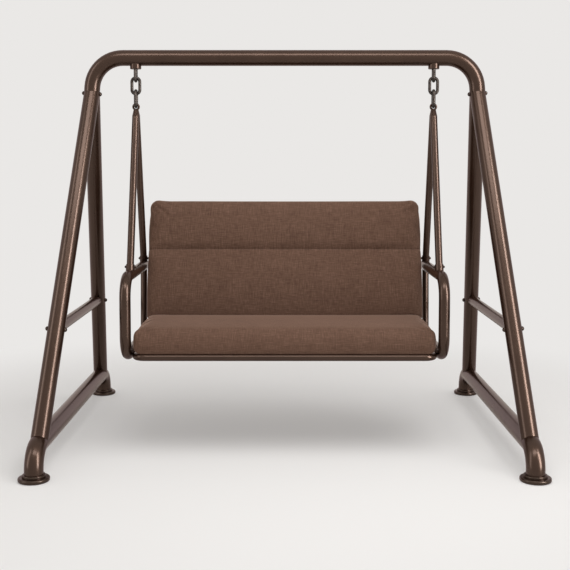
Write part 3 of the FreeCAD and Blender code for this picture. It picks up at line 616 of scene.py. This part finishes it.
def pucker(x):
    """How far the cloth gathers at a place along a sewn line, from 0 to 1."""
    fine = noise.noise(Vector((x / (11 * MM), 3.1, 0)))
    coarse = noise.noise(Vector((x / (27 * MM), 7.7, 0)))
    return min(1.0, max(0.0, 0.5 + 0.6 * (fine + 0.6 * coarse)))


def back_support(seat_pad, seat_high):
    """Makes the floor_at of the back cushion: the top of the seat cushion, which carries its foot."""
    surface = surface_of(seat_pad.data)
    down = Vector((0, 0, -1))
    side = seat_high.x - 16 * MM
    rear = seat_high.y - 12 * MM

    def floor_at(x, y):
        over = Vector((min(side, max(-side, x)), min(rear, y), seat_high.z + 0.1))
        return x, y, surface.ray_cast(over, down)[0].z + CONTACT

    return floor_at


def make_back_cushion(fabric, seat_pad):
    """The back cushion, with its sewn line and the folds that gather along it."""
    low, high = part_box("back_cushion")

    def held(co):
        place = along_back(co)
        on_line = abs(place.z - CHANNEL) < 6 * MM and place.y < BACK_REAR - 55 * MM
        return place.y > BACK_REAR - 6 * MM or place.z < 150 * MM or on_line

    def depth_at(co):
        place = along_back(co)
        front = min(1.0, max(0.0, (BACK_REAR - 35 * MM - place.y) / (25 * MM)))
        across = place.z - CHANNEL
        folds = crease(across, width=17 * MM, depth=2.4 * MM) * pucker(place.x)
        return front * (crease(across, width=4.5 * MM, depth=5 * MM) + folds)

    mesh = stuffed("back_pad", back_rings(SWELL), held)
    foot = min(along_back(vertex.co).z for vertex in mesh.vertices)
    proud = 3 * MM
    lowest = Vector((low.x - proud, BACK_REAR - BACK_THICKNESS, foot))
    highest = Vector((high.x + proud, BACK_REAR, BACK_TOP))
    fill_out(mesh, along_back, lambda place: back_frame_point(*place), lowest, highest)
    settle(mesh, back_support(seat_pad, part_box("seat_cushion")[1]), reach=80 * MM, most=32 * MM)
    press(mesh, depth_at)
    piece = new_piece("back_pad", mesh, fabric, "seat")
    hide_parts("back_cushion")
    return piece


def make_back_stitching(cushion, thread):
    """The row of lockstitches that lies in the sewn line across the back cushion."""
    surface = surface_of(cushion.data)
    pitch = 7 * MM
    length = 5 * MM
    radius = 0.7 * MM
    sides = 6
    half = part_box("back_cushion")[1].x - 26 * MM
    count = int(2 * half / pitch)
    inward = LEAN @ Vector((0, 1, 0))
    upward = LEAN @ Vector((0, 0, 1))
    # The rings of a stitch: each one's place along it, and, in radii, its girth and how far it stands
    # out. The first and the last dip into the cloth.
    tip = (0.35, 0.1)
    body = (1.0, 0.8)
    profile = ((-0.5, *tip), (-0.32, *body), (0.0, *body), (0.32, *body), (0.5, *tip))
    shape = bmesh.new()
    for number in range(count):
        x = (number - (count - 1) / 2) * pitch
        ring_rows = []
        for share, girth, proud in profile:
            origin = back_frame_point(x + share * length, BACK_REAR - 2 * BACK_THICKNESS, CHANNEL)
            hit = surface.ray_cast(origin, inward)[0]
            if hit is None:
                break
            centre = hit - inward * radius * proud
            row = []
            for side in range(sides):
                turn = 2 * math.pi * side / sides
                across = math.cos(turn) * upward + math.sin(turn) * inward
                row.append(shape.verts.new(centre + radius * girth * across))
            ring_rows.append(row)
        if len(ring_rows) < len(profile):
            continue
        for one, other in zip(ring_rows, ring_rows[1:]):
            for side in range(sides):
                following = (side + 1) % sides
                shape.faces.new((one[side], one[following], other[following], other[side]))
        shape.faces.new(ring_rows[0][::-1])
        shape.faces.new(ring_rows[-1])
    bmesh.ops.recalc_face_normals(shape, faces=shape.faces)
    made = bpy.data.meshes.new("back_stitching")
    shape.to_mesh(made)
    shape.free()
    return new_piece("back_stitching", made, thread, "seat")


# Surroundings

BACKDROP = "#eae8e6"
# The share of a painted glow in the backdrop's colour, which lightens the floor and the object's shadow
# under it, and the distances from its middle between which the floor fades into the backdrop.
PAINTED_FLOOR_GLOW = 0.27
FADE_START = 1.35
FADE_END = 3.0


def make_floor():
    """A pale studio floor with a painted glow in the backdrop's colour mixed in, which lightens the
    object's shadow on it. It fades into the backdrop beyond the feet."""
    reach = 40
    corners = [(-reach, -reach, 0), (reach, -reach, 0), (reach, reach, 0), (-reach, reach, 0)]
    mesh = bpy.data.meshes.new("floor")
    mesh.from_pydata(corners, [], [(0, 1, 2, 3)])
    material, tree, shader, place = blank_material("studio_floor")
    shader.inputs["Base Color"].default_value = linear("#f0eeec")
    shader.inputs["Roughness"].default_value = 1.0
    shader.inputs["Specular IOR Level"].default_value = 0.0
    distance = add(tree, "ShaderNodeVectorMath", {0: place}, operation="LENGTH")
    fade = add(
        tree, "ShaderNodeMapRange",
        {
            "Value": distance.outputs["Value"],
            "From Min": FADE_START,
            "From Max": FADE_END,
            "To Min": PAINTED_FLOOR_GLOW,
        },
        interpolation_type="SMOOTHSTEP",
    )
    # Painted light, not a lamp: near the object a share of the backdrop's colour glows from the floor
    # and lightens the shadow.
    glow = add(tree, "ShaderNodeEmission", {"Color": linear(BACKDROP), "Strength": 1.0})
    mix = add(
        tree, "ShaderNodeMixShader",
        {"Fac": fade.outputs["Result"], 1: shader.outputs["BSDF"], 2: glow.outputs["Emission"]},
    )
    tree.links.new(mix.outputs["Shader"], tree.nodes["Material Output"].inputs["Surface"])
    mesh.materials.append(material)
    floor = bpy.data.objects.new("floor", mesh)
    scene.collection.objects.link(floor)


def make_world():
    """The backdrop as the camera, glossy metal and glass see it, and a softer light for all else."""
    world = bpy.data.worlds.new("studio")
    scene.world = world
    world.use_nodes = True
    tree = world.node_tree
    tree.nodes.clear()
    path = add(tree, "ShaderNodeLightPath")
    shiny = add(
        tree, "ShaderNodeMath",
        {0: path.outputs["Is Glossy Ray"], 1: path.outputs["Is Transmission Ray"]}, operation="MAXIMUM",
    )
    shown = add(
        tree, "ShaderNodeMath",
        {0: path.outputs["Is Camera Ray"], 1: shiny.outputs["Value"]}, operation="MAXIMUM",
    )
    seen = add(tree, "ShaderNodeBackground", {"Color": linear(BACKDROP), "Strength": 1.0})
    fill = add(tree, "ShaderNodeBackground", {"Color": linear("#f2f0ee"), "Strength": 0.58})
    mix = add(
        tree, "ShaderNodeMixShader",
        {"Fac": shown.outputs["Value"], 1: fill.outputs["Background"], 2: seen.outputs["Background"]},
    )
    add(tree, "ShaderNodeOutputWorld", {"Surface": mix.outputs["Shader"]})


def area_light(name, place, aim, size, power, streak_only=False):
    """A rectangular lamp. One for streaks only shows in glossy surfaces. Any other lights the object
    and doesn't show in them."""
    data = bpy.data.lights.new(name, "AREA")
    data.shape = "RECTANGLE"
    data.size, data.size_y = size
    data.energy = power
    lamp = bpy.data.objects.new(name, data)
    lamp.location = place
    lamp.rotation_euler = (Vector(aim) - Vector(place)).to_track_quat("-Z", "Y").to_euler()
    lamp.visible_diffuse = not streak_only
    lamp.visible_glossy = streak_only
    scene.collection.objects.link(lamp)


def make_lights():
    area_light("overhead_softbox", (0.8, -1.3, 3.6), (0, 0.1, 0), (4.0, 3.0), 100)
    area_light("right_strip", (4.4, -3.6, 2.6), (0, 0, 1.2), (1.5, 6.0), 440, streak_only=True)
    area_light("left_strip", (-5.4, -2.6, 2.6), (0, 0, 1.2), (1.6, 6.0), 90, streak_only=True)
    area_light("front_softbox", (0, -4.2, 6.4), (0, 0, 1.4), (5.0, 1.8), 150, streak_only=True)


make_camera()
make_world()
make_lights()
make_floor()

finishes = {
    "frame_paint": painted_steel("bronze_enamel", "#3b281d", "#422f24", 0.28, 0.45),
    "foot_paint": painted_steel("foot_enamel", "#34261c", "#3b2c22", 0.3, 0.42),
    "slat_paint": painted_steel("slat_enamel", "#2c211b", "#352821", 0.5, 0.05),
    "fastener_steel": painted_steel("bolt_enamel", "#2d2018", "#36271d", 0.3, 0.42),
    "chain_steel": blackened_steel("blackened_steel"),
    "end_plug": moulded_nylon("moulded_nylon"),
    "woven_fabric": melange_weave("brown_melange_weave"),
}
for entry in frame["record"]["subparts"]:
    node = frame["nodes"][entry["node"]]
    node.data.materials.clear()
    node.data.materials.append(finishes[entry["material_slot"]])

seat_pad = make_seat_cushion(finishes["woven_fabric"])
back_pad = make_back_cushion(finishes["woven_fabric"], seat_pad)
make_back_stitching(back_pad, sewing_thread("sewing_thread"))

scene.view_settings.view_transform = "Standard"
